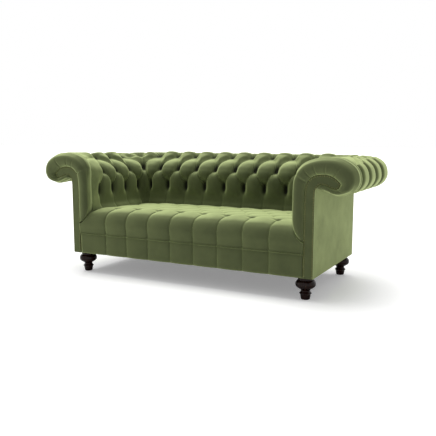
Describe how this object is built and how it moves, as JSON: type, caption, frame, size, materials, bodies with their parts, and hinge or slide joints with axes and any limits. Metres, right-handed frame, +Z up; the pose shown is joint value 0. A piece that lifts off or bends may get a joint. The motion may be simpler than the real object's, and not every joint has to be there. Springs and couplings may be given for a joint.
{
  "type": "chesterfield sofa",
  "caption": "Chesterfield sofa with deep-buttoned velvet back and scroll arms, buttoned fixed seat with a bull-nose front, nailed arm facings and turned dark legs.",
  "frame": {"origin": "on the floor, under the middle of the sofa's overall length and depth", "axes": "+Z up, +X along the length of the seat, +Y towards the back"},
  "size_m": [2.1384, 1.0552, 0.785],
  "materials": {
    "velvet": "olive green cut velvet with a soft directional sheen",
    "frame_timber": "planed kiln-dried hardwood, unfinished",
    "leg_wood": "turned hardwood, very dark mahogany stain under gloss lacquer",
    "spring_steel": "bare drawn steel wire and zinc-plated studs",
    "nail_metal": "small domed upholstery nails, antiqued to the green of the cloth",
    "hessian": "plain woven jute hessian",
    "seat_foam": "open-cell polyurethane foam",
    "dust_cloth": "thin black spun-bonded cloth"
  },
  "bodies": {
    "root": {"back_left_rib": "frame_timber", "back_lining": "hessian", "back_middle_rib": "frame_timber", "back_rail": "frame_timber", "back_right_rib": "frame_timber", "back_top_rail": "frame_timber", "back_upholstery": "velvet", "dust_cover": "dust_cloth", "front_border": "velvet", "front_piping": "velvet", "front_rail": "frame_timber", "left_arm_front_board": "frame_timber", "left_arm_front_pad": "velvet", "left_arm_lining": "hessian", "left_arm_middle_rib": "frame_timber", "left_arm_rear_rib": "frame_timber", "left_arm_top_rail": "frame_timber", "left_arm_upholstery": "velvet", "left_corner_rail": "frame_timber", "left_facing_strip": "velvet", "left_front_corner_block": "frame_timber", "left_front_leg": "leg_wood", "left_front_leg_stud": "spring_steel", "left_nail_trim": "nail_metal", "left_outer_arm_panel": "velvet", "left_rear_corner_block": "frame_timber", "left_rear_leg": "leg_wood", "left_rear_leg_stud": "spring_steel", "left_seat_stretcher": "frame_timber", "left_side_rail": "frame_timber", "outer_back_panel": "velvet", "right_arm_front_board": "frame_timber", "right_arm_front_pad": "velvet", "right_arm_lining": "hessian", "right_arm_middle_rib": "frame_timber", "right_arm_rear_rib": "frame_timber", "right_arm_top_rail": "frame_timber", "right_arm_upholstery": "velvet", "right_corner_rail": "frame_timber", "right_facing_strip": "velvet", "right_front_corner_block": "frame_timber", "right_front_leg": "leg_wood", "right_front_leg_stud": "spring_steel", "right_nail_trim": "nail_metal", "right_outer_arm_panel": "velvet", "right_rear_corner_block": "frame_timber", "right_rear_leg": "leg_wood", "right_rear_leg_stud": "spring_steel", "right_seat_stretcher": "frame_timber", "right_side_rail": "frame_timber", "seat_cover": "velvet", "seat_foam": "seat_foam", "seat_hessian": "hessian", "seat_spring_1": "spring_steel", "seat_spring_2": "spring_steel", "seat_spring_3": "spring_steel", "seat_spring_4": "spring_steel", "seat_spring_5": "spring_steel", "seat_spring_6": "spring_steel"}
  },
  "joints": []
}
